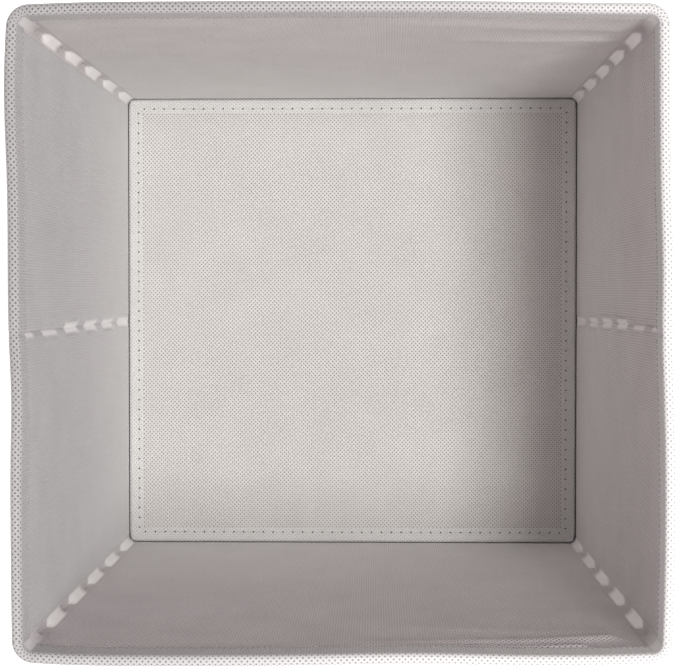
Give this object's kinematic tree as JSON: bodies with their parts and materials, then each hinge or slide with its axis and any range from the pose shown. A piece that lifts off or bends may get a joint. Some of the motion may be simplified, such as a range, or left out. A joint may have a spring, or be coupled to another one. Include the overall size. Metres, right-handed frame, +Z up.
{
  "type": "fabric storage bin",
  "caption": "Open square storage bin of embossed nonwoven fabric over boards, with a hemmed rim, welded corner and crease seams, and a loose bound base insert; it folds flat.",
  "frame": {"origin": "centre of the underside, on the surface the bin stands on", "axes": "+Z up to the open rim, +Y to the rear wall, +X to the right wall; the creases are on the walls at -X and +X"},
  "size_m": [0.28, 0.278, 0.28],
  "materials": {
    "outer_fabric": "matt light grey nonwoven, embossed with a fine diamond of dots",
    "lining_fabric": "matt grey nonwoven, embossed with a fine diamond of dots",
    "insert_fabric": "matt pale grey nonwoven, embossed with a fine diamond of dots",
    "binding_tape": "matt nonwoven tape, stitched along its inner edge",
    "welded_seam": "nonwoven fused smooth, satin and paler than the cloth",
    "thread": "pale twisted sewing thread",
    "cardboard": "uncoated grey-brown board"
  },
  "bodies": {
    "rear_wall": {"rear_outer": "outer_fabric", "rear_board": "cardboard", "rear_lining": "lining_fabric", "rear_hem_thread": "thread", "rear_left_seam": "welded_seam", "rear_right_seam": "welded_seam", "bottom_fabric": "outer_fabric"},
    "left_rear": {"left_rear_outer": "outer_fabric", "left_rear_board": "cardboard", "left_rear_lining": "lining_fabric", "left_rear_hem_thread": "thread", "left_rear_crease_weld": "welded_seam"},
    "left_front": {"left_front_outer": "outer_fabric", "left_front_board": "cardboard", "left_front_lining": "lining_fabric", "left_front_hem_thread": "thread", "left_front_crease_weld": "welded_seam"},
    "front_wall": {"front_outer": "outer_fabric", "front_board": "cardboard", "front_lining": "lining_fabric", "front_hem_thread": "thread", "front_left_seam": "welded_seam", "front_right_seam": "welded_seam"},
    "right_rear": {"right_rear_outer": "outer_fabric", "right_rear_board": "cardboard", "right_rear_lining": "lining_fabric", "right_rear_hem_thread": "thread", "right_rear_crease_weld": "welded_seam"},
    "right_front": {"right_front_outer": "outer_fabric", "right_front_board": "cardboard", "right_front_lining": "lining_fabric", "right_front_hem_thread": "thread", "right_front_crease_weld": "welded_seam"},
    "insert": {"insert_board": "cardboard", "insert_cover": "insert_fabric", "insert_backing": "insert_fabric", "insert_binding": "binding_tape", "insert_thread": "thread"}
  },
  "joints": [
    {"name": "fold_flat", "type": "hinge", "parent": "rear_wall", "child": "left_rear", "pos_m": [-0.1348, 0.1338, 0.14], "axis": [0, 0, 1], "range_deg": [0, 88]},
    {"name": "left_crease", "type": "hinge", "parent": "left_rear", "child": "left_front", "pos_m": [-0.1416, 0, 0.14], "axis": [0, 0, 1], "range_deg": [-176, 0]},
    {"name": "front_left_corner", "type": "hinge", "parent": "left_front", "child": "front_wall", "pos_m": [-0.1348, -0.1338, 0.14], "axis": [0, 0, 1], "range_deg": [0, 88]},
    {"name": "rear_right_corner", "type": "hinge", "parent": "rear_wall", "child": "right_rear", "pos_m": [0.1348, 0.1338, 0.14], "axis": [0, 0, 1], "range_deg": [-88, 0]},
    {"name": "front_right_corner", "type": "hinge", "parent": "front_wall", "child": "right_front", "pos_m": [0.1348, -0.1338, 0.14], "axis": [0, 0, 1], "range_deg": [0, 88]},
    {"name": "insert_lift", "type": "slide", "parent": "rear_wall", "child": "insert", "axis": [0, 0, 1], "range_m": [0, 0.3]}
  ],
  "couplings": [
    {"joint": "left_crease", "follows": "fold_flat", "ratio": -2},
    {"joint": "front_left_corner", "follows": "fold_flat", "ratio": 1},
    {"joint": "rear_right_corner", "follows": "fold_flat", "ratio": -1},
    {"joint": "front_right_corner", "follows": "fold_flat", "ratio": 1}
  ]
}
